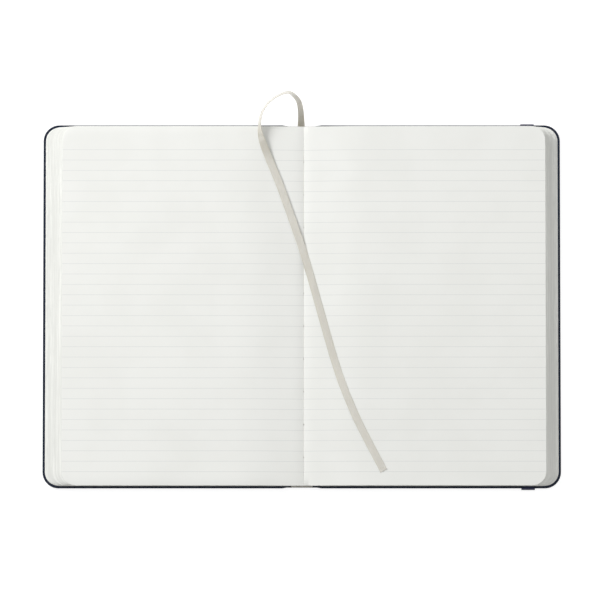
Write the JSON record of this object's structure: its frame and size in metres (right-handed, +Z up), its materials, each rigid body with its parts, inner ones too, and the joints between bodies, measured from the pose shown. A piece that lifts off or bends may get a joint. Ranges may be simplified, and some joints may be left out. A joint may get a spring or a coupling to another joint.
{
  "type": "hardcover notebook",
  "caption": "Hard-cover ruled notebook lying open flat, with sewn pages, rounded corners, a ribbon marker and an elastic closure strap on the back cover.",
  "frame": {"origin": "centre of the open book's footprint, on the surface that it lies on (cords left out)", "axes": "+X towards the back cover's fore edge, +Y towards the head of the pages, +Z up out of the open pages"},
  "size_m": [0.3, 0.2307, 0.0193],
  "materials": {
    "leatherette": "fine-grained matt leatherette",
    "greyboard": "raw grey book board",
    "endpaper": "plain off-white endpaper",
    "paper": "uncoated off-white paper with pale grey ruled lines",
    "linen_thread": "waxed sewing thread",
    "mull": "open-weave lining cloth",
    "band_cloth": "rolled off-white band cloth",
    "elastic_weave": "woven flat elastic",
    "ribbon_satin": "narrow woven satin ribbon"
  },
  "bodies": {
    "spine": {"spine_skin": "leatherette", "spine_strip": "greyboard", "spine_lining": "mull", "head_band": "band_cloth", "tail_band": "band_cloth"},
    "front_cover": {"front_skin": "leatherette", "front_board": "greyboard", "front_pastedown": "endpaper", "front_flyleaf": "endpaper", "signature_01": "paper", "thread_01": "linen_thread"},
    "back_cover": {"back_skin": "leatherette", "back_board": "greyboard", "back_pastedown": "endpaper", "back_flyleaf": "endpaper", "signature_07": "paper", "thread_07": "linen_thread", "elastic_head_wrap": "elastic_weave", "elastic_tail_wrap": "elastic_weave"},
    "front_sheets_2": {"signature_02": "paper"},
    "front_sheets_3": {"signature_03": "paper"},
    "front_sheets_4": {"signature_04_front": "paper"},
    "back_sheets_2": {"signature_06": "paper"},
    "back_sheets_3": {"signature_05": "paper"},
    "back_sheets_4": {"signature_04_back": "paper"},
    "front_fold_2": {"thread_02": "linen_thread"},
    "front_fold_3": {"thread_03": "linen_thread"},
    "front_fold_4": {"thread_04_head": "linen_thread"},
    "back_fold_2": {"thread_06": "linen_thread"},
    "back_fold_3": {"thread_05": "linen_thread"},
    "back_fold_4": {"thread_04_tail": "linen_thread"},
    "leaf": {"right_leaf": "paper", "ribbon_lower": "ribbon_satin"},
    "ribbon_head": {"ribbon_upper": "ribbon_satin"},
    "elastic": {"elastic_run": "elastic_weave"}
  },
  "joints": [
    {"name": "back_hinge", "type": "hinge", "parent": "spine", "child": "back_cover", "pos_m": [0.008, 0, 0.002], "axis": [0, -1, 0], "range_deg": [0, 90], "deforming": ["thread_02", "thread_03", "thread_04_head", "thread_04_tail", "thread_05", "thread_06", "ribbon_upper"]},
    {"name": "front_hinge", "type": "hinge", "parent": "spine", "child": "front_cover", "pos_m": [-0.008, 0, 0.002], "axis": [0, 1, 0], "range_deg": [0, 90]},
    {"name": "front_slide_2", "type": "slide", "parent": "front_cover", "child": "front_sheets_2", "axis": [-1, 0, 0], "range_m": [0, 0.00343]},
    {"name": "front_fold_2_bend", "type": "hinge", "parent": "front_sheets_2", "child": "front_fold_2", "pos_m": [-0.0386, 0, 0.0062], "axis": [0, -1, 0], "range_deg": [0, 1.91]},
    {"name": "front_slide_3", "type": "slide", "parent": "front_sheets_2", "child": "front_sheets_3", "axis": [-1, 0, 0], "range_m": [0, 0.00301]},
    {"name": "front_fold_3_bend", "type": "hinge", "parent": "front_sheets_3", "child": "front_fold_3", "pos_m": [-0.0356, 0, 0.00808], "axis": [0, -1, 0], "range_deg": [0, 3.47]},
    {"name": "front_slide_4", "type": "slide", "parent": "front_sheets_3", "child": "front_sheets_4", "axis": [-1, 0, 0], "range_m": [0, 0.00284]},
    {"name": "front_fold_4_bend", "type": "hinge", "parent": "front_sheets_4", "child": "front_fold_4", "pos_m": [-0.0328, 0, 0.00945], "axis": [0, -1, 0], "range_deg": [0, 4.9]},
    {"name": "back_slide_2", "type": "slide", "parent": "back_cover", "child": "back_sheets_2", "axis": [1, 0, 0], "range_m": [0, 0.00273]},
    {"name": "back_fold_2_bend", "type": "hinge", "parent": "back_sheets_2", "child": "back_fold_2", "pos_m": [0.0393, 0, 0.0062], "axis": [0, 1, 0], "range_deg": [0, 1.91]},
    {"name": "back_slide_3", "type": "slide", "parent": "back_sheets_2", "child": "back_sheets_3", "axis": [1, 0, 0], "range_m": [0, 0.0024]},
    {"name": "back_fold_3_bend", "type": "hinge", "parent": "back_sheets_3", "child": "back_fold_3", "pos_m": [0.0369, 0, 0.00808], "axis": [0, 1, 0], "range_deg": [0, 3.47]},
    {"name": "back_slide_4", "type": "slide", "parent": "back_sheets_3", "child": "back_sheets_4", "axis": [1, 0, 0], "range_m": [0, 0.00173]},
    {"name": "back_fold_4_bend", "type": "hinge", "parent": "back_sheets_4", "child": "back_fold_4", "pos_m": [0.0352, 0, 0.00945], "axis": [0, 1, 0], "range_deg": [0, 4.9]},
    {"name": "ribbon_follow", "type": "hinge", "parent": "spine", "child": "ribbon_head", "pos_m": [-0.00337, 0, 0.00662], "axis": [0, 1, 0], "range_deg": [0, 90]},
    {"name": "leaf_turn", "type": "hinge", "parent": "back_sheets_4", "child": "leaf", "pos_m": [0.0012, 0, 0.01], "axis": [0, 1, 0], "range_deg": [-177, 0], "deforming": ["right_leaf", "ribbon_lower"]},
    {"name": "elastic_stretch", "type": "slide", "parent": "back_cover", "child": "elastic", "axis": [0, 0, -1], "range_m": [0, 0.018], "stiffness_N_per_m": 60, "deforming": ["elastic_head_wrap", "elastic_tail_wrap"]}
  ],
  "couplings": [
    {"joint": "front_hinge", "follows": "back_hinge", "ratio": 1},
    {"joint": "front_slide_2", "follows": "back_hinge", "m_per_rad": 0.0021772},
    {"joint": "front_fold_2_bend", "follows": "back_hinge", "ratio": 0.021156},
    {"joint": "front_slide_3", "follows": "back_hinge", "m_per_rad": 0.0019099},
    {"joint": "front_fold_3_bend", "follows": "back_hinge", "ratio": 0.038489},
    {"joint": "front_slide_4", "follows": "back_hinge", "m_per_rad": 0.0018016},
    {"joint": "front_fold_4_bend", "follows": "back_hinge", "ratio": 0.054367},
    {"joint": "back_slide_2", "follows": "back_hinge", "m_per_rad": 0.0017316},
    {"joint": "back_fold_2_bend", "follows": "back_hinge", "ratio": 0.021156},
    {"joint": "back_slide_3", "follows": "back_hinge", "m_per_rad": 0.0015279},
    {"joint": "back_fold_3_bend", "follows": "back_hinge", "ratio": 0.038489},
    {"joint": "back_slide_4", "follows": "back_hinge", "m_per_rad": 0.0011014},
    {"joint": "back_fold_4_bend", "follows": "back_hinge", "ratio": 0.054367},
    {"joint": "ribbon_follow", "follows": "back_hinge", "ratio": 1}
  ]
}
